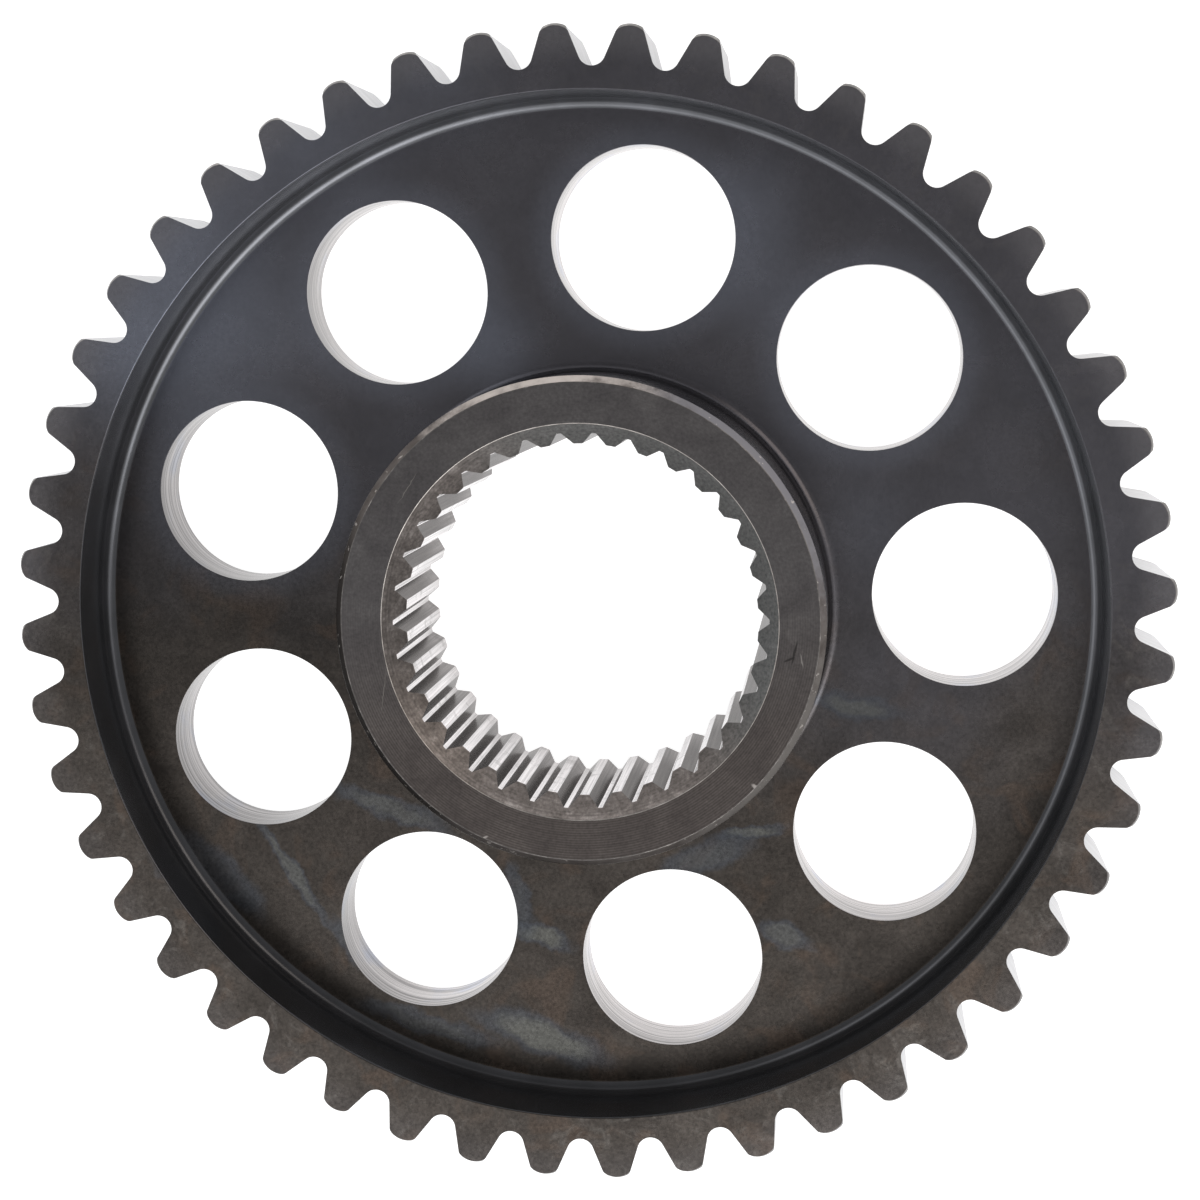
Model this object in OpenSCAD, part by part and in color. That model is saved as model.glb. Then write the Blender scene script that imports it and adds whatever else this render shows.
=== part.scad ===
// Chain sprocket for an inverted-tooth (silent) chain, forged and machined in one piece.
// It lies on its flat back. The origin is where its axis meets that back face,
// +Z runs up the axis to the hub's end face, and +X goes through the middle of a tooth.

/* [Chain teeth] */
// Pitch of the chain, three eighths of an inch
chain_pitch = 9.525; // [9.4:0.005:9.8]
// Number of chain teeth
teeth = 48; // [46:1:54]
// Height of a tooth tip over the middle of a pitch chord
tip_rise = 0.38; // [0:0.02:0.8]
// Depth of a gap below the tooth tips
tooth_depth = 5.3; // [5:0.1:6]
// Angle of a gap's wall from the middle line of the gap
gap_flank = 23.2; // [20:0.1:25]
// Radius at the bottom of a gap
gap_bottom_r = 1.72; // [1.5:0.02:2]
// Radius of the crowned top of a tooth
tooth_top_r = 3; // [2.5:0.1:4]
// Edge break at both ends of a crowned tooth top, measured along the radius
tip_break = 0.35; // [0.2:0.05:0.8]
// Edge break at both ends of a crowned tooth top, measured along the axis
tip_break_w = 0.7; // [0.3:0.05:1.2]

/* [Rim] */
// Width of the rim and its teeth along the axis
rim_w = 16.2; // [13:0.1:20]
// Thickness of the rim under the gaps
rim_wall = 2.9; // [2:0.1:4]
// Edge break on the inner edge of the rim
rim_edge = 0.15; // [0.1:0.05:0.6]
// Fillet between the rim and the web
rim_fillet = 1.6; // [0.5:0.1:3]

/* [Web] */
// Thickness of the web
web_t = 7.4; // [5:0.1:9]
// Number of lightening holes
hole_count = 9; // [3:1:10]
// Diameter of a lightening hole
hole_d = 23.5; // [12:0.1:26]
// Angle of the first hole from the tooth on +X
hole_turn = -0.65; // [-3.75:0.05:3.75]

/* [Hub] */
// Outer diameter of the hub
hub_d = 60.4; // [56:0.1:64]
// Height of the hub's end face over the back of the sprocket
hub_h = 23.15; // [18:0.05:30]
// Chamfer on the outer edge of the hub's end face
hub_chamfer = 0.8; // [0.2:0.1:1.5]
// Fillet between the hub and the web
hub_fillet = 1.5; // [0.5:0.1:3]

/* [Splined bore] */
// Number of spline spaces
spline_count = 34; // [28:1:36]
// Diameter at the bottom of the spline spaces
spline_major_d = 46.4; // [45.6:0.1:47.2]
// Diameter at the tips of the spline teeth
spline_minor_d = 43.6; // [42.8:0.1:44.4]
// Width of the flat at the bottom of a spline space
spline_root_w = 0.56; // [0.3:0.02:0.9]
// Angle of a spline flank from the middle line of its space
spline_flank = 39; // [30:0.5:42]
// Angle of the first spline space from the tooth on +X
spline_turn = -2.1; // [-5:0.1:5]
// Diameter of the lead-in cone where it meets the hub's end face
lead_in_d = 48.8; // [47.4:0.1:52]

/* [Hidden] */
$fn = 120;

// How far each cutting shape runs past the face that it cuts
over = 1;
// The same for the broken ends of the tooth tops, which narrow as they run on
past = 0.1;
// How far a straight wall cuts into the round that it runs into, so that the two cross and don't just touch
blend = 0.01;

tip_r = chain_pitch / 2 / tan(180 / teeth) + tip_rise;
crown_r = tip_r - tooth_top_r;
gap_floor_r = tip_r - tooth_depth;
rim_in_r = gap_floor_r - rim_wall;
hub_r = hub_d / 2;
hole_circle_r = (hub_r + rim_in_r) / 2;
spline_major_r = spline_major_d / 2;
spline_minor_r = spline_minor_d / 2;
lead_in_r = lead_in_d / 2;

// One gap between two teeth, along +X: two straight walls that run into a round bottom
module chain_gap() {
    middle = gap_floor_r + gap_bottom_r;
    wall_r = gap_bottom_r - blend;
    low_x = middle - wall_r * sin(gap_flank);
    low_y = wall_r * cos(gap_flank);
    high_x = tip_r + 2 * over;
    high_y = low_y + (high_x - low_x) * tan(gap_flank);
    translate([middle, 0]) circle(r = gap_bottom_r);
    polygon([[low_x, -low_y], [high_x, -high_y], [high_x, high_y], [low_x, low_y]]);
}

// Round body of one crowned tooth top on +X, with the edge at each end broken
module tooth_top() {
    end_r = tooth_top_r - tip_break * (1 + past / tip_break_w);
    translate([crown_r, 0])
        rotate_extrude()
            polygon([
                [0, -past],
                [end_r, -past],
                [tooth_top_r, tip_break_w],
                [tooth_top_r, rim_w - tip_break_w],
                [end_r, rim_w + past],
                [0, rim_w + past]
            ]);
}

// Half section of hub, web and rim, with the radius along x and the axis along y
module half_section() {
    difference() {
        polygon([
            [0, 0],
            [tip_r + over, 0],
            [tip_r + over, rim_w],
            [rim_in_r + rim_edge, rim_w],
            [rim_in_r, rim_w - rim_edge],
            [rim_in_r, web_t + rim_fillet],
            [rim_in_r - rim_fillet, web_t],
            [hub_r + hub_fillet, web_t],
            [hub_r, web_t + hub_fillet],
            [hub_r, hub_h - hub_chamfer],
            [hub_r - hub_chamfer, hub_h],
            [0, hub_h]
        ]);
        translate([rim_in_r - rim_fillet, web_t + rim_fillet]) circle(r = rim_fillet);
        translate([hub_r + hub_fillet, web_t + hub_fillet]) circle(r = hub_fillet);
    }
}

// Outline of the splined bore: a round hole with one tapered space per spline
module spline_outline() {
    low_x = spline_minor_r - over;
    high_y = spline_root_w / 2;
    low_y = high_y + (spline_major_r - low_x) * tan(spline_flank);
    circle(r = spline_minor_r);
    for (i = [0 : spline_count - 1])
        rotate(spline_turn + i * 360 / spline_count)
            polygon([[low_x, -low_y], [spline_major_r, -high_y], [spline_major_r, high_y], [low_x, low_y]]);
}

// Cone that leads a shaft into the bore, at 45 degrees
module lead_in() {
    depth = lead_in_r - spline_minor_r + over;
    translate([0, 0, hub_h - depth])
        cylinder(h = depth + over, r1 = lead_in_r - depth, r2 = lead_in_r + over);
}

module sprocket() {
    color([0.20, 0.20, 0.21])
        difference() {
            intersection() {
                union() {
                    translate([0, 0, -over]) cylinder(h = max(hub_h, rim_w) + 2 * over, r = crown_r);
                    for (i = [0 : teeth - 1])
                        rotate(i * 360 / teeth) tooth_top();
                }
                rotate_extrude() half_section();
            }
            for (i = [0 : teeth - 1])
                rotate((i + 0.5) * 360 / teeth) translate([0, 0, -over])
                    linear_extrude(height = rim_w + 2 * over) chain_gap();
            for (i = [0 : hole_count - 1])
                rotate(hole_turn + i * 360 / hole_count)
                    translate([hole_circle_r, 0, -over]) cylinder(h = web_t + 2 * over, d = hole_d);
            translate([0, 0, -over]) linear_extrude(height = hub_h + 2 * over) spline_outline();
            lead_in();
        }
}

sprocket();
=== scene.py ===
import math

import bmesh
import bpy
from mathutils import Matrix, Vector


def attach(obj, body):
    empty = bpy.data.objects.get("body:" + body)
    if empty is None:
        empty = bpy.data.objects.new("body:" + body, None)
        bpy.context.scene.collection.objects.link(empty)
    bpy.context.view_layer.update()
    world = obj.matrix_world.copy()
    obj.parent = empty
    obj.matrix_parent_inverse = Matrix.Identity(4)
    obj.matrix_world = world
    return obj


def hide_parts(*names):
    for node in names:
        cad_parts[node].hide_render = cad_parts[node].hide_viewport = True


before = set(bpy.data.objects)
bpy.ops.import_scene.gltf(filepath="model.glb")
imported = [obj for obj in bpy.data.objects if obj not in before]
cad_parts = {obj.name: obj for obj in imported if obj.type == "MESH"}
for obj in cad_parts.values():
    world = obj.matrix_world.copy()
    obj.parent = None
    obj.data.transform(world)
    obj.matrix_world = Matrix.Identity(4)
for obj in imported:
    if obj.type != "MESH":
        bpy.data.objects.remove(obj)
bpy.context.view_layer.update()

# Sizes of the sprocket, as in the part's source, in metres and radians
MM = 0.001
TEETH = 48
TIP_R = (9.525 / 2 / math.tan(math.pi / TEETH) + 0.38) * MM
GAP_FLOOR_R = TIP_R - 5.3 * MM
GAP_FLANK = math.radians(23.2)
GAP_BOTTOM_R = 1.72 * MM
TOOTH_TOP_R = 3.0 * MM
TIP_BREAK = 0.35 * MM
TIP_BREAK_W = 0.7 * MM
RIM_W = 16.2 * MM
RIM_IN_R = GAP_FLOOR_R - 2.9 * MM
RIM_EDGE = 0.15 * MM
RIM_FILLET = 1.6 * MM
WEB_T = 7.4 * MM
HOLES = 9
HOLE_R = 23.5 / 2 * MM
HOLE_TURN = math.radians(-0.65)
HUB_R = 60.4 / 2 * MM
HUB_H = 23.15 * MM
HUB_CHAMFER = 0.8 * MM
HUB_FILLET = 1.5 * MM
HOLE_CIRCLE_R = (HUB_R + RIM_IN_R) / 2
SPLINES = 34
SPLINE_MAJOR_R = 46.4 / 2 * MM
SPLINE_MINOR_R = 43.6 / 2 * MM
SPLINE_ROOT_W = 0.56 * MM
SPLINE_FLANK = math.radians(39)
SPLINE_TURN = math.radians(-2.1)
LEAD_IN_R = 48.8 / 2 * MM

# Sizes that only show close up, so the source leaves them out
SHOULDER_R = 0.7 * MM
EDGE_BREAK = 0.06 * MM

# How far a cutting shape runs past what it cuts
OVER = 1.0 * MM
# Steps once around the axis, eight to a tooth
ROUND_STEPS = 384
# Where the blank's steps start, so that none falls on the middle of a tooth, a gap or a hole
SEAM_TURN = math.radians(0.37)
# Faces that turn by less than this are one flat face
FLAT_WITHIN = math.radians(0.1)
# Points closer than this are one point
SAME_POINT = 0.0005 * MM
# Faces this close to a surface belong to it
NEAR = 0.1 * MM
# Edges that turn by more than this get an edge break
SHARP_OVER = math.radians(30)
# Steps in a fillet's arc and in a gap's round bottom, and around a hole
FILLET_STEPS = 12
HOLE_STEPS = 144
# Depth below the hub's face that the lead-in stays within
LEAD_IN_DEPTH = 3 * MM
# How far a land's own rounds reach down a spline flank
LAND_EDGE = 0.15 * MM


def arc(middle, radius, start, end, steps):
    """Points of an arc in its own plane, both ends among them."""
    turn = (end - start) / steps
    return [(middle[0] + radius * math.cos(start + turn * i),
             middle[1] + radius * math.sin(start + turn * i))
            for i in range(steps + 1)]


def turned(points, angle):
    c, s = math.cos(angle), math.sin(angle)
    return [(x * c - y * s, x * s + y * c) for x, y in points]


def draw_line(points):
    """Draws a line through the points, one extruded vertex after another, and leaves edit mode on."""
    bpy.ops.object.select_all(action="DESELECT")
    bpy.ops.mesh.primitive_plane_add(size=MM, location=(0, 0, 0))
    bpy.ops.object.mode_set(mode="EDIT")
    bpy.ops.mesh.select_all(action="SELECT")
    bpy.ops.mesh.merge(type="CENTER")
    bpy.ops.transform.translate(value=points[0])
    for last, new in zip(points, points[1:]):
        step = Vector(new) - Vector(last)
        bpy.ops.mesh.extrude_vertices_move(TRANSFORM_OT_translate={"value": step})


def repeat_round_axis(count):
    """Copies what is drawn around the axis and joins the ends."""
    bpy.ops.mesh.select_all(action="SELECT")
    bpy.ops.mesh.spin(steps=count, dupli=True, angle=2 * math.pi, center=(0, 0, 0), axis=(0, 0, 1))
    bpy.ops.mesh.select_all(action="SELECT")
    bpy.ops.mesh.remove_doubles(threshold=SAME_POINT)


def select_points(test):
    """Selects, in edit mode, the points that pass a test on their place, and nothing else."""
    bpy.ops.mesh.select_mode(type="VERT")
    bpy.ops.mesh.select_all(action="DESELECT")
    shape = bmesh.from_edit_mesh(bpy.context.active_object.data)
    for point in shape.verts:
        point.select = test(point.co)
    shape.select_flush(True)
    bmesh.update_edit_mesh(bpy.context.active_object.data)


def bridge_outlines(heights, least_r):
    """Joins outlines that were drawn one over another."""
    for low, high in zip(heights, heights[1:]):
        select_points(lambda co: co.xy.length > least_r
                      and min(abs(co.z - low), abs(co.z - high)) < SAME_POINT)
        bpy.ops.mesh.bridge_edge_loops()


def finish_drawing(name):
    bpy.ops.object.mode_set(mode="OBJECT")
    piece = bpy.context.active_object
    piece.name = name
    return piece


def join(pieces):
    bpy.ops.object.select_all(action="DESELECT")
    for piece in pieces:
        piece.select_set(True)
    bpy.context.view_layer.objects.active = pieces[0]
    bpy.ops.object.join()
    return pieces[0]


def cut(piece, tool):
    """Cuts a tool's shape out of the piece and takes the tool away."""
    bpy.ops.object.select_all(action="DESELECT")
    piece.select_set(True)
    bpy.context.view_layer.objects.active = piece
    step = piece.modifiers.new("cut", "BOOLEAN")
    step.operation = "DIFFERENCE"
    step.solver = "EXACT"
    step.object = tool
    bpy.ops.object.modifier_apply(modifier="cut")
    spent = tool.data
    bpy.data.objects.remove(tool)
    bpy.data.meshes.remove(spent)
    bpy.ops.object.mode_set(mode="EDIT")
    bpy.ops.mesh.select_all(action="SELECT")
    bpy.ops.mesh.remove_doubles(threshold=SAME_POINT)
    bpy.ops.mesh.dissolve_degenerate(threshold=SAME_POINT)
    bpy.ops.object.mode_set(mode="OBJECT")


# Turned surfaces: the half section from the rim's front face in over the web and the hub, down the
# bore and out along the back, spun around the axis. It stops short of the tooth gaps.
inner_r = SPLINE_MINOR_R - 2 * MM
ring_r = GAP_FLOOR_R - 0.5 * MM
rim_corner = (RIM_IN_R - RIM_FILLET, WEB_T + RIM_FILLET)
hub_corner = (HUB_R + HUB_FILLET, WEB_T + HUB_FILLET)
section = [(ring_r, RIM_W), (RIM_IN_R + RIM_EDGE, RIM_W), (RIM_IN_R, RIM_W - RIM_EDGE)]
section += arc(rim_corner, RIM_FILLET, 0, -math.pi / 2, FILLET_STEPS)
section += arc(hub_corner, HUB_FILLET, -math.pi / 2, -math.pi, FILLET_STEPS)
section += [(HUB_R, HUB_H - HUB_CHAMFER), (HUB_R - HUB_CHAMFER, HUB_H), (LEAD_IN_R, HUB_H),
            (inner_r, HUB_H - LEAD_IN_R + inner_r), (inner_r, 0), (ring_r, 0)]
draw_line([(r * math.cos(SEAM_TURN), r * math.sin(SEAM_TURN), z) for r, z in section])
bpy.ops.mesh.select_all(action="SELECT")
bpy.ops.mesh.spin(steps=ROUND_STEPS, angle=2 * math.pi, center=(0, 0, 0), axis=(0, 0, 1))
bpy.ops.mesh.select_all(action="SELECT")
bpy.ops.mesh.remove_doubles(threshold=SAME_POINT)
sprocket = finish_drawing("sprocket_body")


def tooth_line(top_r):
    """Outline of one tooth on +X, from gap to gap, with a crown of this radius and round shoulders."""
    half_pitch = math.pi / TEETH
    gap_middle = GAP_FLOOR_R + GAP_BOTTOM_R
    bottom = arc((gap_middle, 0), GAP_BOTTOM_R, math.pi, 1.5 * math.pi - GAP_FLANK, FILLET_STEPS)
    bottom = turned(bottom, half_pitch)
    wall = Vector(bottom[-1])
    lean = half_pitch - GAP_FLANK
    along = Vector((math.cos(lean), math.sin(lean)))
    outward = Vector((-math.sin(lean), math.cos(lean)))
    crown = Vector((TIP_R - TOOTH_TOP_R, 0))
    start = wall - outward * SHOULDER_R - crown
    run = start.dot(along)
    reach = -run + math.sqrt(run ** 2 - start.length_squared + (top_r - SHOULDER_R) ** 2)
    corner = crown + start + along * reach
    flank_turn = math.atan2(outward.y, outward.x)
    crown_turn = math.atan2(corner.y, corner.x - crown.x)
    shoulder = arc(corner, SHOULDER_R, flank_turn, crown_turn, 6)
    half = bottom + shoulder + arc(crown, top_r, crown_turn, 0, 9)[1:]
    return [(x, -y) for x, y in half] + half[-2::-1]


# Teeth: outlines at both ends and where the broken edges begin, joined to each other and to the
# turned surfaces
levels = [(0, TOOTH_TOP_R - TIP_BREAK), (TIP_BREAK_W, TOOTH_TOP_R), (RIM_W - TIP_BREAK_W, TOOTH_TOP_R),
          (RIM_W, TOOTH_TOP_R - TIP_BREAK)]
outlines = [sprocket]
for z, top_r in levels:
    draw_line([(x, y, z) for x, y in tooth_line(top_r)])
    repeat_round_axis(TEETH)
    outlines.append(finish_drawing("tooth_outline"))
join(outlines)
bpy.ops.object.mode_set(mode="EDIT")
bridge_outlines([level[0] for level in levels], GAP_FLOOR_R - NEAR)
for end in (0, RIM_W):
    select_points(lambda co: abs(co.z - end) < SAME_POINT and co.xy.length > ring_r - NEAR)
    bpy.ops.mesh.fill(use_beauty=False)
bpy.ops.mesh.select_all(action="SELECT")
bpy.ops.mesh.normals_make_consistent(inside=False)
bpy.ops.mesh.dissolve_limited(angle_limit=FLAT_WITHIN)
bpy.ops.object.mode_set(mode="OBJECT")

# Splined bore: one root, flank and land, copied around the axis
half_spline = math.pi / SPLINES
root_y = SPLINE_ROOT_W / 2
slope = math.tan(SPLINE_FLANK)
lift = root_y + SPLINE_MAJOR_R * slope
spread = 1 + slope ** 2
land_x = (slope * lift + math.sqrt(spread * SPLINE_MINOR_R ** 2 - lift ** 2)) / spread
land_turn = math.atan2(lift - land_x * slope, land_x)
half_space = [(SPLINE_MAJOR_R, root_y)] + arc((0, 0), SPLINE_MINOR_R, land_turn, half_spline, 4)
space = turned([(x, -y) for x, y in half_space[::-1]] + half_space, SPLINE_TURN)
outlines = []
levels = [-OVER, HUB_H + OVER]
for z in levels:
    draw_line([(x, y, z) for x, y in space])
    repeat_round_axis(SPLINES)
    outlines.append(finish_drawing("spline_outline"))
broach = join(outlines)
bpy.ops.object.mode_set(mode="EDIT")
bridge_outlines(levels, 0)
for end in levels:
    select_points(lambda co: abs(co.z - end) < SAME_POINT)
    bpy.ops.mesh.edge_face_add()
bpy.ops.mesh.select_all(action="SELECT")
bpy.ops.mesh.normals_make_consistent(inside=False)
cut(sprocket, finish_drawing("spline_broach"))

# Lightening holes, drilled together
drills = []
for hole in range(HOLES):
    turn = HOLE_TURN + hole * 2 * math.pi / HOLES
    place = (HOLE_CIRCLE_R * math.cos(turn), HOLE_CIRCLE_R * math.sin(turn), WEB_T / 2)
    bpy.ops.mesh.primitive_cylinder_add(vertices=HOLE_STEPS, radius=HOLE_R, depth=WEB_T + 2 * OVER,
                                        location=place)
    drills.append(bpy.context.active_object)
cut(sprocket, join(drills))

# Flat faces become one face each, so that the broken edges run clean
bpy.ops.object.mode_set(mode="EDIT")
bpy.ops.mesh.select_all(action="SELECT")
bpy.ops.mesh.dissolve_limited(angle_limit=FLAT_WITHIN)
bpy.ops.mesh.faces_shade_smooth()
shape = bmesh.from_edit_mesh(sprocket.data)
weight = shape.edges.layers.float.new("bevel_weight_edge")
for edge in shape.edges:
    if edge.calc_face_angle() > SHARP_OVER:
        one, two = [point.co for point in edge.verts]
        middle = (one + two) / 2
        on_lead_in = middle.xy.length < LEAD_IN_R - 0.05 * MM and middle.z > HUB_H - LEAD_IN_DEPTH
        if on_lead_in and abs(one.z - two.z) < 2 * MM:
            edge.smooth = False
        else:
            edge[weight] = 1.0
bmesh.update_edit_mesh(sprocket.data)
bpy.ops.object.mode_set(mode="OBJECT")
break_edges = sprocket.modifiers.new("edge_break", "BEVEL")
break_edges.width = EDGE_BREAK
break_edges.segments = 2
break_edges.limit_method = "WEIGHT"
break_edges.loop_slide = False
break_edges.use_clamp_overlap = False
bpy.ops.object.modifier_apply(modifier="edge_break")
even = sprocket.modifiers.new("even_normals", "WEIGHTED_NORMAL")
even.weight = 100
even.keep_sharp = True
bpy.ops.object.modifier_apply(modifier="even_normals")


def linear(hex_colour):
    """An sRGB colour such as "4b4a49" as the linear colour that a shader takes."""
    parts = [int(hex_colour[i:i + 2], 16) / 255 for i in (0, 2, 4)]
    return [c / 12.92 if c <= 0.04045 else ((c + 0.055) / 1.055) ** 2.4 for c in parts] + [1.0]


def per(millimetres):
    """Scale of a noise whose marks are this size."""
    return 1 / (millimetres * MM)


def add(tree, kind, settings={}, inputs={}, stops=(), take=0):
    """Adds one node with settings, values or links for its inputs, and a ramp's colours."""
    made = tree.nodes.new(kind)
    for name, value in settings.items():
        setattr(made, name, value)
    for socket, value in inputs.items():
        if isinstance(value, bpy.types.NodeSocket):
            tree.links.new(value, made.inputs[socket])
        else:
            made.inputs[socket].default_value = value
    for index, (place, colour) in enumerate(stops):
        ramp = made.color_ramp.elements
        stop = ramp[index] if index < 2 else ramp.new(place)
        stop.position = place
        stop.color = linear(colour)
    return made.outputs if take is None else made.outputs[take]


def start_finish(name):
    """A new material, its nodes, and the place on the piece that its patterns read."""
    made = bpy.data.materials.new(name)
    made.use_nodes = True
    made.node_tree.nodes.clear()
    return made, made.node_tree, add(made.node_tree, "ShaderNodeTexCoord", take="Object")


def end_finish(tree, colour, metal, roughness, relief, depth, edge="ffffff"):
    """Closes a finish with its shader. Bare steel is all metal; oxide scatters part of the light."""
    bump = add(tree, "ShaderNodeBump", {}, {"Strength": 1.0, "Distance": depth, "Height": relief})
    shade = add(tree, "ShaderNodeBsdfPrincipled", {},
                {"Base Color": colour, "Metallic": metal, "Roughness": roughness,
                 "Specular Tint": linear(edge), "Normal": bump})
    add(tree, "ShaderNodeOutputMaterial", {}, {"Surface": shade}, take=None)


# A colour mix takes its share on socket 0 and its colours on 6 and 7, and gives the mix on output 2.
# A mix of plain values takes them on 2 and 3.
BLEND = {"data_type": "RGBA"}
TIMES = {"data_type": "RGBA", "blend_type": "MULTIPLY"}
SOFT = {"interpolation_type": "SMOOTHSTEP"}
NOISE = "ShaderNodeTexNoise"
RANGE = "ShaderNodeMapRange"
MIX = "ShaderNodeMix"
MATH = "ShaderNodeMath"
VECTOR = "ShaderNodeVectorMath"
# How much of an oxide skin shines as metal does
OXIDE = 0.8
# A wave of rings has this scale over the pitch of its rings
RING_SCALE = 0.31416

# Oxide left by hardening on forged and machined steel: a satin near-black, cool above and brown below,
# cloudy, with a fine grain and blue-edged stains on the web, and a painted bluish glow of glare around
# the upper holes and across the upper web and rim. The grain is drawn coarser than the real one, so
# that it shows.
oxide, tree, spot = start_finish("oxide_blackened_steel")
drift = add(tree, NOISE, {}, {"Vector": spot, "Scale": per(30), "Detail": 2.0})
sway = add(tree, RANGE, {},
           {"Value": drift, "From Min": 0.3, "From Max": 0.7, "To Min": -0.016, "To Max": 0.016})
xyz = add(tree, "ShaderNodeSeparateXYZ", {}, {0: spot}, take=None)
left = add(tree, MATH, {"operation": "MINIMUM"}, {0: xyz["X"], 1: 0.0})
height = add(tree, MATH, {"operation": "MULTIPLY_ADD"}, {0: left, 1: 0.35, 2: xyz["Y"]})
height = add(tree, MATH, {"operation": "ADD"}, {0: height, 1: sway})
warmth = add(tree, RANGE, SOFT, {"Value": height, "From Min": 0.022, "From Max": -0.03})
skin = add(tree, MIX, BLEND, {0: warmth, 6: linear("4f4e53"), 7: linear("46413d")}, take=2)
cloud = add(tree, NOISE, {},
            {"Vector": spot, "Scale": per(9), "Detail": 6.0, "Roughness": 0.6, "Distortion": 0.5})
shade = add(tree, RANGE, {},
            {"Value": cloud, "From Min": 0.3, "From Max": 0.7, "To Min": 0.76, "To Max": 1.24})
uneven = add(tree, RANGE, {}, {"Value": warmth, "To Min": 0.3, "To Max": 1.0})
skin = add(tree, MIX, TIMES, {0: uneven, 6: skin, 7: shade}, take=2)
blotch = add(tree, NOISE, {}, {"Vector": spot, "Scale": per(6), "Detail": 3.0, "Distortion": 0.8})
blotch = add(tree, RANGE, SOFT, {"Value": blotch, "From Min": 0.5, "From Max": 0.68, "To Max": 0.45})
blotch = add(tree, MATH, {"operation": "MULTIPLY"}, {0: blotch, 1: warmth})
skin = add(tree, MIX, BLEND, {0: blotch, 6: skin, 7: linear("5a4c42")}, take=2)

flat = add(tree, VECTOR, {"operation": "MULTIPLY"}, {0: spot, 1: (1, 1, 0)})
out = add(tree, VECTOR, {"operation": "LENGTH"}, {0: flat}, take="Value")
on_rim = add(tree, RANGE, SOFT,
             {"Value": out, "From Min": RIM_IN_R - 0.5 * MM, "From Max": RIM_IN_R + 0.5 * MM})
smudge = add(tree, NOISE, {},
             {"Vector": spot, "Scale": per(3.5), "Detail": 5.0, "Roughness": 0.65, "Distortion": 1.2})
smudge = add(tree, RANGE, SOFT, {"Value": smudge, "From Min": 0.5, "From Max": 0.75, "To Max": 0.6})
smudge = add(tree, MATH, {"operation": "MULTIPLY"}, {0: smudge, 1: on_rim})
smudge = add(tree, MATH, {"operation": "MULTIPLY"}, {0: smudge, 1: uneven})
skin = add(tree, MIX, BLEND, {0: smudge, 6: skin, 7: linear("6a6662")}, take=2)

# Stains: place on the web, turn, length and width in millimetres and degrees, and how grey their
# middles are
stains = [(-10, -57.2, -21, 17, 4.2, 0.9), (-25, -55, -19, 17, 2.4, 0.3),
          (-9.4, -43.4, -27, 8, 2.6, 0.9), (-12, -38.5, -75, 9, 2.6, 0.1),
          (-42.5, -33.6, -59, 17, 1.5, 0.6), (-28.5, -25.8, -23, 16, 2.8, 0.5),
          (-52, -34, -47, 14, 4.5, 0.1), (33.5, -14.5, -14, 11, 3.0, 0.5),
          (19, -30.4, 4, 8, 1.6, 0.8), (13, -33.5, 20, 12, 4.0, 0.2),
          (22.6, -44.3, -28, 7, 2.6, 0.5), (-34, -45, -50, 10, 3.0, 0.2)]
tear = add(tree, NOISE, {}, {"Vector": spot, "Scale": per(4), "Detail": 4.0, "Roughness": 0.6},
           take="Color")
tear = add(tree, VECTOR, {"operation": "SUBTRACT"}, {0: tear, 1: (0.5, 0.5, 0.5)})
ragged = add(tree, VECTOR, {"operation": "MULTIPLY_ADD"}, {0: tear, 1: (4 * MM, 4 * MM, 0), 2: spot})
for x, y, turn, length, width, grey in stains:
    near = add(tree, "ShaderNodeMapping", {"vector_type": "TEXTURE"},
               {"Vector": ragged, "Location": (x * MM, y * MM, WEB_T),
                "Rotation": (0, 0, math.radians(turn)),
                "Scale": (length / 2 * MM, width / 2 * MM, 1.0)})
    reach = add(tree, VECTOR, {"operation": "LENGTH"}, {0: near}, take="Value")
    fringe = add(tree, RANGE, SOFT, {"Value": reach, "From Min": 1.4, "From Max": 0.8, "To Max": 0.55})
    skin = add(tree, MIX, BLEND, {0: fringe, 6: skin, 7: linear("4d525a")}, take=2)
    middle = add(tree, RANGE, SOFT,
                 {"Value": reach, "From Min": 0.95, "From Max": 0.45, "To Max": grey})
    skin = add(tree, MIX, BLEND, {0: middle, 6: skin, 7: linear("656561")}, take=2)

# Painted glow of glare, bluish: middle in millimetres, where it starts, how far it reaches and how
# strong it is
painted_glow_spots = []
for hole in (1, 2, 3, 4):
    turn = HOLE_TURN + math.radians(360 / HOLES * hole)
    x = HOLE_CIRCLE_R / MM * math.cos(turn)
    y = HOLE_CIRCLE_R / MM * math.sin(turn)
    painted_glow_spots.append((x, y, HOLE_R / MM, 4, 0.3))
painted_glow_spots += [(-54, 37.5, 0, 18, 0.85), (-49, 50, 0, 18, 0.7), (-33, 62, 0, 18, 0.5), (-16, 69, 0, 14, 0.3),
          (-11.5, 34, 0, 9, 0.6), (23, 41, 0, 11, 0.4), (22, 50, 0, 10, 0.45), (-40, 37.5, 0, 14, 0.35),
          (36, 9, 0, 9, 0.2)]
for x, y, start, reach, most in painted_glow_spots:
    away = add(tree, VECTOR, {"operation": "DISTANCE"}, {0: flat, 1: (x * MM, y * MM, 0)}, take="Value")
    painted_glow = add(tree, RANGE, SOFT, {"Value": away, "From Min": (start + reach) * MM,
                                   "From Max": start * MM, "To Max": most})
    skin = add(tree, MIX, BLEND, {0: painted_glow, 6: skin, 7: linear("6f737f")}, take=2)
# Darker on the web's left side, round a point left of the bore
away = add(tree, VECTOR, {"operation": "DISTANCE"}, {0: flat, 1: (-50 * MM, 6 * MM, 0)}, take="Value")
left_web_darkening = add(tree, RANGE, SOFT,
            {"Value": away, "From Min": 8 * MM, "From Max": 34 * MM, "To Min": 0.62, "To Max": 1.0})
skin = add(tree, MIX, TIMES, {0: 1.0, 6: skin, 7: left_web_darkening}, take=2)
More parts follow.
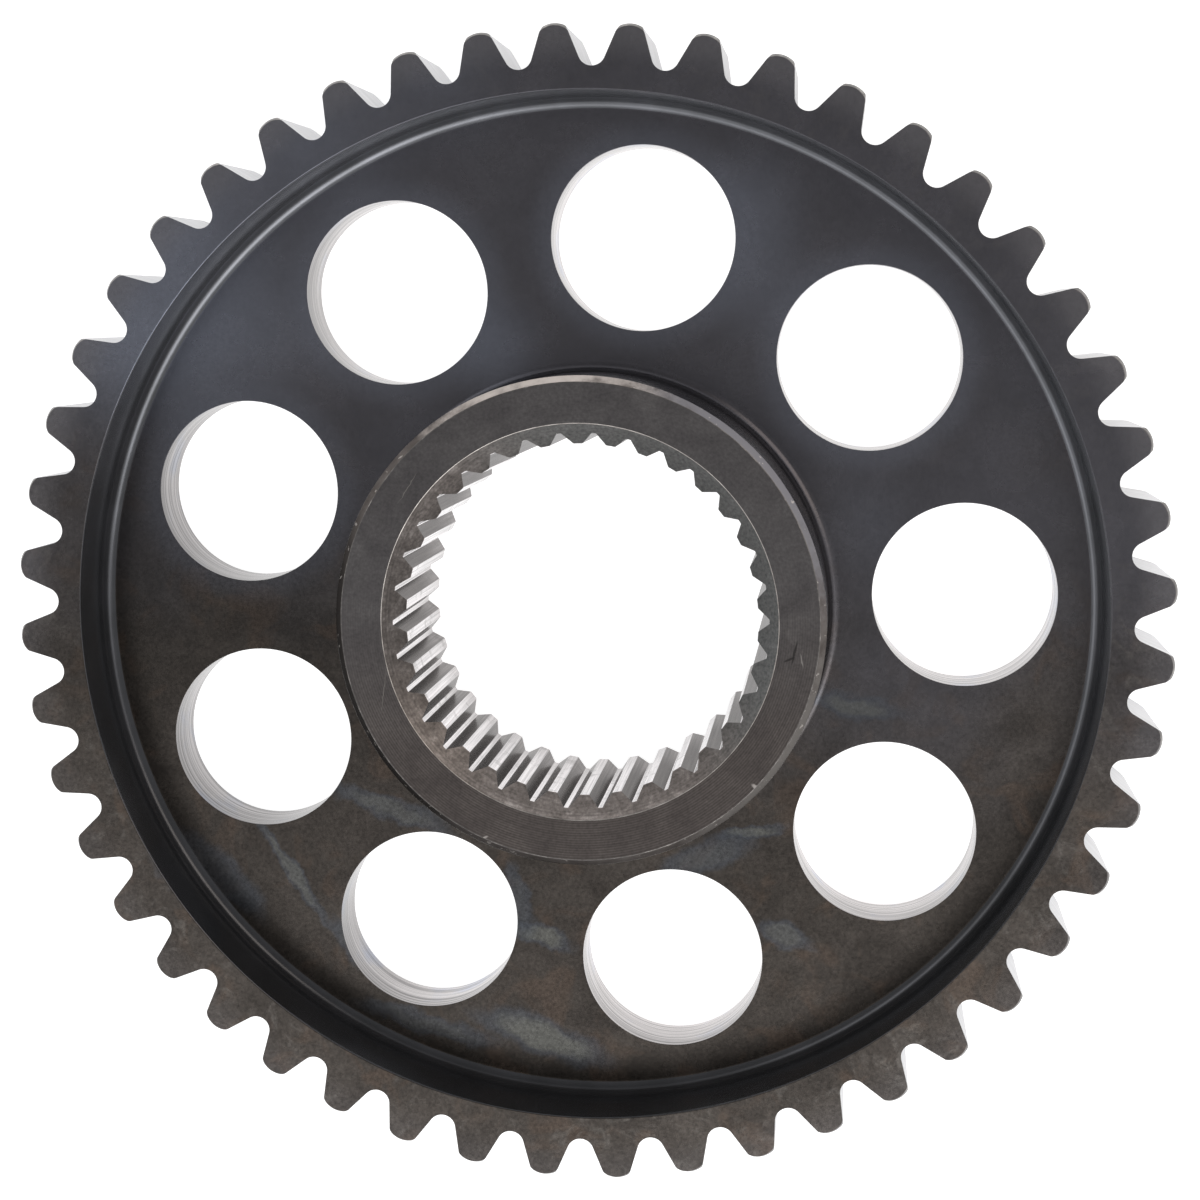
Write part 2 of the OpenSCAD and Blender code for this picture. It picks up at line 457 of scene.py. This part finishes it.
tip = add(tree, RANGE, SOFT,
          {"Value": out, "From Min": TIP_R - 5.5 * MM, "From Max": TIP_R - 1 * MM, "To Max": 0.5})
fade = add(tree, RANGE, {}, {"Value": warmth, "To Min": 1.0, "To Max": 0.25})
tip = add(tree, MATH, {"operation": "MULTIPLY"}, {0: tip, 1: fade})
skin = add(tree, MIX, BLEND, {0: tip, 6: skin, 7: linear("737174")}, take=2)
grain = add(tree, NOISE, {}, {"Vector": spot, "Scale": per(0.4), "Detail": 4.0, "Roughness": 0.7})
fleck = add(tree, RANGE, {},
            {"Value": grain, "From Min": 0.25, "From Max": 0.75, "To Min": 0.5, "To Max": 1.5})
skin = add(tree, MIX, TIMES, {0: uneven, 6: skin, 7: fleck}, take=2)
satin = add(tree, RANGE, {},
            {"Value": cloud, "From Min": 0.3, "From Max": 0.7, "To Min": 0.22, "To Max": 0.3})
end_finish(tree, skin, OXIDE, satin, grain, 0.0003 * MM)

# Wall and fillet inside the rim, turned smooth before hardening: a cooler and glossier black than
# the web, with painted light on its +Y side and painted shade on its -Y side
wall, tree, spot = start_finish("turned_rim_wall")
cloud = add(tree, NOISE, {}, {"Vector": spot, "Scale": per(6), "Detail": 4.0, "Distortion": 0.5})
skin = add(tree, "ShaderNodeValToRGB", {}, {"Fac": cloud}, stops=((0.3, "47484b"), (0.7, "525357")))
above = add(tree, VECTOR, {"operation": "DOT_PRODUCT"},
            {0: spot, 1: (0.35 / RIM_IN_R, 0.94 / RIM_IN_R, 0)}, take="Value")
# Painted light and shade: lighter towards +Y, where the light falls on the wall and the fillet shows
# its highlight, darker towards -Y
painted_light_and_shade = add(tree, RANGE, SOFT,
           {"Value": above, "From Min": -0.4, "From Max": 0.6, "To Min": 0.8, "To Max": 1.9})
skin = add(tree, MIX, TIMES, {0: 1.0, 6: skin, 7: painted_light_and_shade}, take=2)
end_finish(tree, skin, 0.65, 0.22, cloud, 0.0003 * MM)

# Faced on a lathe and then hardened: dark, with fine turning lines whose painted light and shade is
# strongest below the bore, where they catch the light. The lines are drawn a little wider apart than
# the feed, so that they show.
hub_face, tree, spot = start_finish("turned_hub_face")
flat = add(tree, VECTOR, {"operation": "MULTIPLY"}, {0: spot, 1: (1, 1, 0)})
out = add(tree, VECTOR, {"operation": "LENGTH"}, {0: flat}, take="Value")
xyz = add(tree, "ShaderNodeSeparateXYZ", {}, {0: spot}, take=None)
cloud = add(tree, NOISE, {},
            {"Vector": spot, "Scale": per(5), "Detail": 5.0, "Roughness": 0.6, "Distortion": 0.6})
skin = add(tree, "ShaderNodeValToRGB", {}, {"Fac": cloud}, stops=((0.3, "4e4b4b"), (0.7, "5e5b5a")))
below = add(tree, RANGE, SOFT, {"Value": xyz["Y"], "From Min": 0.008, "From Max": -0.02})
warm = add(tree, MIX, BLEND, {0: below, 6: linear("fbfcff"), 7: linear("e9e1dc")}, take=2)
skin = add(tree, MIX, TIMES, {0: 1.0, 6: skin, 7: warm}, take=2)
rings = add(tree, "ShaderNodeTexWave", {"wave_type": "RINGS", "rings_direction": "Z"},
            {"Vector": spot, "Scale": RING_SCALE / (0.31 * MM), "Distortion": 0.8, "Detail": 1.0,
             "Detail Scale": 0.2})
feed = add(tree, NOISE, {"noise_dimensions": "1D"}, {"W": out, "Scale": per(0.5), "Detail": 2.0})
lines = add(tree, MIX, {}, {0: 0.45, 2: rings, 3: feed})
# Painted light and shade: the lines' light and dark stripes are strongest below the bore, where the
# light catches them
depth = add(tree, RANGE, {}, {"Value": below, "To Min": 0.1, "To Max": 1.0})
strip = add(tree, RANGE, {},
            {"Value": lines, "From Min": 0.2, "From Max": 0.8, "To Min": 0.72, "To Max": 1.28})
broken = add(tree, RANGE, {},
             {"Value": cloud, "From Min": 0.3, "From Max": 0.65, "To Min": 0.35, "To Max": 1.0})
depth = add(tree, MATH, {"operation": "MULTIPLY"}, {0: depth, 1: broken})
strip = add(tree, MIX, {}, {0: depth, 2: 1.0, 3: strip})
skin = add(tree, MIX, TIMES, {0: 1.0, 6: skin, 7: strip}, take=2)
grain = add(tree, NOISE, {}, {"Vector": spot, "Scale": per(0.4), "Detail": 3.0, "Roughness": 0.6})
fleck = add(tree, RANGE, {},
            {"Value": grain, "From Min": 0.25, "From Max": 0.75, "To Min": 0.78, "To Max": 1.22})
skin = add(tree, MIX, TIMES, {0: 1.0, 6: skin, 7: fleck}, take=2)
# Scuffs and scratches: place, turn, length and width in millimetres and degrees, and colour
marks = [(26.1, -4.6, 75, 2.8, 0.3, "2b2928"), (25.4, -5.4, 20, 1.4, 0.3, "2b2928"),
         (26.9, -5.6, 100, 1.6, 0.2, "8a8683"), (23.0, -18.9, 52, 7, 0.14, "8a8683"),
         (24.2, -16.6, 60, 4, 0.1, "7c7875"), (20.6, -21.0, -45, 1.2, 0.5, "b4aeaa"),
         (-13.2, -26.2, 25, 1.0, 0.3, "a8a29e"), (-24.6, -7.5, 80, 5, 0.1, "77736f"),
         (-20, 17.5, 55, 4, 0.1, "7c7875")]
tear = add(tree, NOISE, {}, {"Vector": spot, "Scale": per(0.8), "Detail": 3.0}, take="Color")
tear = add(tree, VECTOR, {"operation": "SUBTRACT"}, {0: tear, 1: (0.5, 0.5, 0.5)})
ragged = add(tree, VECTOR, {"operation": "MULTIPLY_ADD"},
             {0: tear, 1: (0.3 * MM, 0.3 * MM, 0), 2: spot})
for x, y, turn, length, width, colour in marks:
    near = add(tree, "ShaderNodeMapping", {"vector_type": "TEXTURE"},
               {"Vector": ragged, "Location": (x * MM, y * MM, HUB_H),
                "Rotation": (0, 0, math.radians(turn)),
                "Scale": (length / 2 * MM, width / 2 * MM, 1.0)})
    reach = add(tree, VECTOR, {"operation": "LENGTH"}, {0: near}, take="Value")
    mark = add(tree, RANGE, SOFT, {"Value": reach, "From Min": 1.3, "From Max": 0.6, "To Max": 0.8})
    skin = add(tree, MIX, BLEND, {0: mark, 6: skin, 7: linear(colour)}, take=2)
end_finish(tree, skin, OXIDE, 0.32, strip, 0.001 * MM)

# Chamfer rubbed by handling and nicked below. Its colour by the way it faces is painted reflection and
# shade
# as well as wear: light bare steel at the top, bluish beside it, dark at the lower left
chamfer, tree, spot = start_finish("worn_chamfer")
cloud = add(tree, NOISE, {}, {"Vector": spot, "Scale": per(2.5), "Detail": 5.0, "Roughness": 0.65})
skin = add(tree, "ShaderNodeValToRGB", {}, {"Fac": cloud}, stops=((0.3, "524c49"), (0.7, "716b68")))
# Painted reflection and shade along with wear: each colour takes the side of the chamfer that faces its
# turn
for turn, wide, colour in ((195, 0.72, "3a3634"), (322, 0.84, "716d6a"), (38, 0.8, "7e7c80"),
                           (97, 0.86, "c2b9b3")):
    way = (math.cos(math.radians(turn)) / HUB_R, math.sin(math.radians(turn)) / HUB_R, 0)
    facing = add(tree, VECTOR, {"operation": "DOT_PRODUCT"}, {0: spot, 1: way}, take="Value")
    facing = add(tree, MATH, {"operation": "MULTIPLY_ADD"}, {0: cloud, 1: 0.3, 2: facing})
    tone_by_facing = add(tree, RANGE, SOFT, {"Value": facing, "From Min": wide + 0.1, "From Max": wide + 0.3})
    skin = add(tree, MIX, BLEND, {0: tone_by_facing, 6: skin, 7: linear(colour)}, take=2)
nick = add(tree, NOISE, {}, {"Vector": spot, "Scale": per(0.7), "Detail": 2.0})
nick = add(tree, RANGE, SOFT, {"Value": nick, "From Min": 0.66, "From Max": 0.72, "To Max": 0.8})
skin = add(tree, MIX, BLEND, {0: nick, 6: skin, 7: linear("b8b2ad")}, take=2)
end_finish(tree, skin, 1.0, 0.3, cloud, 0.004 * MM)

# Lead-in cut before hardening: brown-grey and blotchy, lighter on its +Y and -Y sides
lead_in, tree, spot = start_finish("turned_lead_in")
cloud = add(tree, NOISE, {},
            {"Vector": spot, "Scale": per(2.2), "Detail": 5.0, "Roughness": 0.62, "Distortion": 0.4})
skin = add(tree, "ShaderNodeValToRGB", {}, {"Fac": cloud},
           stops=((0.28, "504b48"), (0.55, "68625f"), (0.75, "86807d")))
flat = add(tree, VECTOR, {"operation": "MULTIPLY"}, {0: spot, 1: (1, 1, 0)})
out = add(tree, VECTOR, {"operation": "LENGTH"}, {0: flat}, take="Value")
lines = add(tree, NOISE, {"noise_dimensions": "1D"}, {"W": out, "Scale": per(0.3), "Detail": 1.0})
strip = add(tree, RANGE, {},
            {"Value": lines, "From Min": 0.25, "From Max": 0.75, "To Min": 0.85, "To Max": 1.15})
skin = add(tree, MIX, TIMES, {0: 1.0, 6: skin, 7: strip}, take=2)
side = add(tree, VECTOR, {"operation": "DOT_PRODUCT"}, {0: spot, 1: (0, 1 / LEAD_IN_R, 0)},
           take="Value")
side = add(tree, MATH, {"operation": "MULTIPLY"}, {0: side, 1: side})
tone_by_facing = add(tree, RANGE, {}, {"Value": side, "To Min": 0.78, "To Max": 1.7})
skin = add(tree, MIX, TIMES, {0: 1.0, 6: skin, 7: tone_by_facing}, take=2)
grain = add(tree, NOISE, {}, {"Vector": spot, "Scale": per(0.4), "Detail": 3.0, "Roughness": 0.6})
upper = add(tree, VECTOR, {"operation": "DOT_PRODUCT"},
            {0: spot, 1: (0.8 / LEAD_IN_R, 0.6 / LEAD_IN_R, 0)}, take="Value")
upper = add(tree, RANGE, SOFT, {"Value": upper, "From Min": -0.1, "From Max": 0.6, "To Max": 0.8})
skin = add(tree, MIX, BLEND, {0: upper, 6: skin, 7: linear("757777")}, take=2)
fleck = add(tree, RANGE, {},
            {"Value": grain, "From Min": 0.25, "From Max": 0.75, "To Min": 0.6, "To Max": 1.4})
skin = add(tree, MIX, TIMES, {0: 1.0, 6: skin, 7: fleck}, take=2)
end_finish(tree, skin, OXIDE, 0.34, cloud, 0.002 * MM)

# Holes bored after hardening: bright, with uneven lines left by the tool, darker towards the front
# edge and in the holes on the left. The lines are drawn wider apart than the tool's feed, so that they
# show.
bored, tree, spot = start_finish("bored_steel")
xyz = add(tree, "ShaderNodeSeparateXYZ", {}, {0: spot}, take=None)
feed = add(tree, "ShaderNodeMapping", {}, {"Vector": spot, "Scale": (per(40), per(40), per(0.4))})
lines = add(tree, NOISE, {}, {"Vector": feed, "Scale": 1.0, "Detail": 3.0, "Roughness": 0.7})
strip = add(tree, RANGE, {},
            {"Value": lines, "From Min": 0.36, "From Max": 0.6, "To Min": 0.45, "To Max": 1.2})
cloud = add(tree, NOISE, {}, {"Vector": spot, "Scale": per(7), "Detail": 3.0})
tint = add(tree, "ShaderNodeValToRGB", {}, {"Fac": cloud},
           stops=((0.35, "c3bfbf"), (0.55, "cac6c6"), (0.7, "babdca")))
front = add(tree, RANGE, SOFT,
            {"Value": xyz["Z"], "From Min": 2.0 * MM, "From Max": WEB_T, "To Min": 1.0, "To Max": 0.66})
skin = add(tree, MIX, TIMES, {0: 1.0, 6: tint, 7: front}, take=2)
left = add(tree, RANGE, SOFT, {"Value": xyz["X"], "From Min": -22 * MM, "From Max": -40 * MM,
                               "To Min": 1.0, "To Max": 0.6})
skin = add(tree, MIX, TIMES, {0: 1.0, 6: skin, 7: left}, take=2)
skin = add(tree, MIX, TIMES, {0: 1.0, 6: skin, 7: strip}, take=2)
end_finish(tree, skin, 1.0, 0.24, lines, 0.004 * MM)

# Splines broached after hardening: bright lands and roots, and darker flanks, all streaked along the
# cut and smeared with oxide. Painted light and shade runs down the bore: lands lighter at the front,
# flanks darker there
splines = []
for name, front, rear, polish, edge in (("broached_land_steel", "dedadb", "b4afaf", 0.18, "ffffff"),
                                        ("broached_flank_steel", "6c6765", "a29d9c", 0.24, "d4d4d4")):
    made, tree, spot = start_finish(name)
    xyz = add(tree, "ShaderNodeSeparateXYZ", {}, {0: spot}, take=None)
    # Painted light and shade down the bore, from the front colour to the rear one
    deep = add(tree, RANGE, SOFT,
               {"Value": xyz["Z"], "From Min": 12 * MM, "From Max": 0.0, "To Max": 0.8})
    skin = add(tree, MIX, BLEND, {0: deep, 6: linear(front), 7: linear(rear)}, take=2)
    stroke = add(tree, "ShaderNodeMapping", {},
                 {"Vector": spot, "Scale": (per(0.3), per(0.3), per(16))})
    lines = add(tree, NOISE, {}, {"Vector": stroke, "Scale": 1.0, "Detail": 3.0, "Roughness": 0.65})
    strip = add(tree, RANGE, {},
                {"Value": lines, "From Min": 0.28, "From Max": 0.72, "To Min": 0.6, "To Max": 1.25})
    skin = add(tree, MIX, TIMES, {0: 1.0, 6: skin, 7: strip}, take=2)
    smear = add(tree, NOISE, {}, {"Vector": spot, "Scale": per(2.5), "Detail": 4.0, "Distortion": 0.5})
    smear = add(tree, RANGE, SOFT, {"Value": smear, "From Min": 0.54, "From Max": 0.72, "To Max": 0.45})
    skin = add(tree, MIX, BLEND, {0: smear, 6: skin, 7: linear("6f6967")}, take=2)
    end_finish(tree, skin, 1.0, polish, lines, 0.0004 * MM, edge)
    splines.append(made)
land, flank = splines

# Tooth gaps hobbed after hardening: bright, with faint cutter marks across the gaps
hobbed, tree, spot = start_finish("hobbed_steel")
marks = add(tree, "ShaderNodeMapping", {}, {"Vector": spot, "Scale": (per(12), per(12), per(0.8))})
lines = add(tree, NOISE, {}, {"Vector": marks, "Scale": 1.0, "Detail": 3.0})
skin = add(tree, "ShaderNodeValToRGB", {}, {"Fac": lines}, stops=((0.3, "a6a6a8"), (0.7, "c2c2c5")))
end_finish(tree, skin, 1.0, 0.3, lines, 0.002 * MM)

# Back ground flat: the same oxide, thinner, with faint rings from the grinding wheel
back, tree, spot = start_finish("ground_back")
flat = add(tree, VECTOR, {"operation": "MULTIPLY"}, {0: spot, 1: (1, 1, 0)})
out = add(tree, VECTOR, {"operation": "LENGTH"}, {0: flat}, take="Value")
cloud = add(tree, NOISE, {},
            {"Vector": spot, "Scale": per(12), "Detail": 6.0, "Roughness": 0.6, "Distortion": 0.5})
skin = add(tree, "ShaderNodeValToRGB", {}, {"Fac": cloud}, stops=((0.3, "4a4643"), (0.7, "5a5654")))
lines = add(tree, NOISE, {"noise_dimensions": "1D"}, {"W": out, "Scale": per(0.7), "Detail": 2.0})
strip = add(tree, RANGE, {},
            {"Value": lines, "From Min": 0.3, "From Max": 0.7, "To Min": 0.75, "To Max": 1.25})
skin = add(tree, MIX, TIMES, {0: 1.0, 6: skin, 7: strip}, take=2)
end_finish(tree, skin, OXIDE, 0.36, lines, 0.0004 * MM)

# Edge of the lead-in, rubbed through to bare steel by the shafts that went in
bare, tree, spot = start_finish("bare_edge_steel")
cloud = add(tree, NOISE, {}, {"Vector": spot, "Scale": per(2), "Detail": 4.0, "Roughness": 0.65})
skin = add(tree, "ShaderNodeValToRGB", {}, {"Fac": cloud}, stops=((0.3, "7f7a76"), (0.7, "c4beb9")))
end_finish(tree, skin, 1.0, 0.36, cloud, 0.002 * MM)

# Edges of the tooth tops and the hub's face, rubbed through the oxide in places
rubbed, tree, spot = start_finish("rubbed_edge_steel")
cloud = add(tree, NOISE, {}, {"Vector": spot, "Scale": per(1.6), "Detail": 4.0, "Roughness": 0.65})
skin = add(tree, "ShaderNodeValToRGB", {}, {"Fac": cloud},
           stops=((0.35, "524f4d"), (0.55, "696664"), (0.72, "9d9995")))
end_finish(tree, skin, OXIDE, 0.34, cloud, 0.002 * MM)

finishes = [oxide, hub_face, chamfer, lead_in, bored, land, flank, hobbed, back, bare, rubbed, wall]
sprocket.data.materials.clear()
for finish in finishes:
    sprocket.data.materials.append(finish)


def finish_at(face):
    """Which finish a face has, from where it lies and which way it faces."""
    tilt = face.normal.z
    z = face.center.z
    corners = [sprocket.data.vertices[i].co.xy.length for i in face.vertices]
    r = sum(corners) / len(corners)
    if tilt < -0.9:
        return back
    if tilt > 0.995:
        return hub_face if z > HUB_H - NEAR else oxide
    if z > HUB_H - NEAR:
        return bare if r < (LEAD_IN_R + HUB_R) / 2 else rubbed
    if abs(tilt) < 0.5 and r < SPLINE_MAJOR_R + NEAR:
        return flank if SPLINE_MINOR_R + LAND_EDGE < r < SPLINE_MAJOR_R - LAND_EDGE else land
    if abs(tilt) < 0.5 and HUB_R + HUB_FILLET < r < RIM_IN_R - RIM_FILLET:
        return bored
    if r < LEAD_IN_R:
        return lead_in
    if z > HUB_H - HUB_CHAMFER - 0.05 * MM and tilt > 0.3:
        return chamfer
    if RIM_IN_R - RIM_FILLET < r < RIM_IN_R + NEAR:
        return wall
    if r > GAP_FLOOR_R - NEAR and abs(tilt) < 0.3:
        return hobbed
    if r > TIP_R - 1.2 * MM and abs(tilt) < 0.7:
        return rubbed
    return oxide


for face in sprocket.data.polygons:
    face.material_index = finishes.index(finish_at(face))

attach(sprocket, "root")
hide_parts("sprocket")

# Pale floor under the sprocket: white to the eye and in the metal, and it keeps the shadow. It lies a
# hair over the back face, so that the two never share a plane.
bpy.ops.object.select_all(action="DESELECT")
bpy.ops.mesh.primitive_plane_add(size=8.0, location=(0, 0, 0.05 * MM))
floor = bpy.context.active_object
floor.name = "floor"
paper, tree = start_finish("white_paper")[:2]
path = add(tree, "ShaderNodeLightPath", take=None)
seen = add(tree, MATH, {"operation": "MAXIMUM"}, {0: path["Is Camera Ray"], 1: path["Is Glossy Ray"]})
seen = add(tree, MATH, {"operation": "MAXIMUM"}, {0: seen, 1: path["Is Transmission Ray"]})
glow = add(tree, MATH, {"operation": "MULTIPLY"}, {0: seen, 1: 0.92})
white = add(tree, "ShaderNodeEmission", {}, {"Color": linear("ffffff"), "Strength": glow})
matt = add(tree, "ShaderNodeBsdfDiffuse", {}, {"Color": linear("b4b4b4")})
both = add(tree, "ShaderNodeAddShader", {}, {0: white, 1: matt})
add(tree, "ShaderNodeOutputMaterial", {}, {"Surface": both}, take=None)
floor.data.materials.append(paper)

# Studio light: pale round the horizon, a leaning ring of light half way up that dims at the upper
# right, and a ceiling that is bright below the picture and dim above it
world = bpy.data.worlds.new("studio")
bpy.context.scene.world = world
world.use_nodes = True
tree = world.node_tree
tree.nodes.clear()
way = add(tree, "ShaderNodeTexCoord", take="Generated")
height = add(tree, "ShaderNodeSeparateXYZ", {}, {0: way}, take="Z")
lean = add(tree, VECTOR, {"operation": "DOT_PRODUCT"}, {0: way, 1: (-0.09, -0.995, 0)}, take="Value")
lean = add(tree, RANGE, {}, {"Value": lean, "From Min": -1.0, "From Max": 1.0})
ceiling = add(tree, "ShaderNodeValToRGB", {}, {"Fac": lean},
              stops=((0.18, "626263"), (0.82, "b8b8b8"), (0.5, "898989")))
tilted = add(tree, VECTOR, {"operation": "DOT_PRODUCT"}, {0: way, 1: (0.135, 0.234, 1)}, take="Value")
rise = add(tree, RANGE, SOFT, {"Value": tilted, "From Min": 0.55, "From Max": 0.62})
fall = add(tree, RANGE, SOFT, {"Value": tilted, "From Min": 0.82, "From Max": 0.74})
aside = add(tree, VECTOR, {"operation": "DOT_PRODUCT"}, {0: way, 1: (0.5, 0.866, 0)}, take="Value")
aside = add(tree, RANGE, SOFT, {"Value": aside, "From Min": 0.6, "From Max": 0.2, "To Min": 0.1})
ring = add(tree, MATH, {"operation": "MULTIPLY"}, {0: rise, 1: fall})
ring = add(tree, MATH, {"operation": "MULTIPLY"}, {0: ring, 1: aside})
sky = add(tree, MIX, BLEND, {0: ring, 6: ceiling, 7: linear("ffffff")}, take=2)
low = add(tree, RANGE, SOFT, {"Value": height, "From Min": 0.5, "From Max": 0.3})
sky = add(tree, MIX, BLEND, {0: low, 6: sky, 7: linear("c2c2c2")}, take=2)
lit = add(tree, "ShaderNodeBackground", {}, {"Color": sky, "Strength": 1.8})
add(tree, "ShaderNodeOutputWorld", {}, {"Surface": lit}, take=None)

# Soft boxes: where each stands, its width and height in metres, its power and its colour
boxes = [("key", (0.27, -0.51, 0.70), 0.7, 0.4, 2.2, "ffffff"),
         ("right", (0.19, 0.11, 0.17), 0.16, 0.14, 0.13, "fff1e2")]
for name, place, wide, high, power, colour in boxes:
    lamp = bpy.data.lights.new(name + "_soft_box", "AREA")
    lamp.shape = "RECTANGLE"
    lamp.size = wide
    lamp.size_y = high
    lamp.energy = power
    lamp.color = linear(colour)[:3]
    box = bpy.data.objects.new(name + "_soft_box", lamp)
    bpy.context.scene.collection.objects.link(box)
    box.location = place
    box.rotation_euler = (-box.location).to_track_quat("-Z", "Y").to_euler()
    box.visible_camera = False

# Camera over the sprocket, up and to the right of its axis, as fitted to the photograph: its width,
# focal length and optical middle, in pixels
PHOTO_W = 1200
FOCAL = 2069.3
MIDDLE_X = 687.0
MIDDLE_Y = 499.0
SENSOR = 36.0
seat = bpy.data.cameras.new("camera")
camera = bpy.data.objects.new("camera", seat)
bpy.context.scene.collection.objects.link(camera)
camera.location = (34.59 * MM, 36.51 * MM, 270.75 * MM)
camera.rotation_euler = (math.radians(-5.266), math.radians(4.491), math.radians(-2.91))
seat.sensor_width = SENSOR
seat.lens = FOCAL / PHOTO_W * SENSOR
seat.shift_x = (PHOTO_W / 2 - MIDDLE_X) / PHOTO_W
seat.shift_y = (MIDDLE_Y - PHOTO_W / 2) / PHOTO_W
seat.clip_start = 0.01
bpy.context.scene.camera = camera
bpy.context.scene.view_settings.view_transform = "Standard"
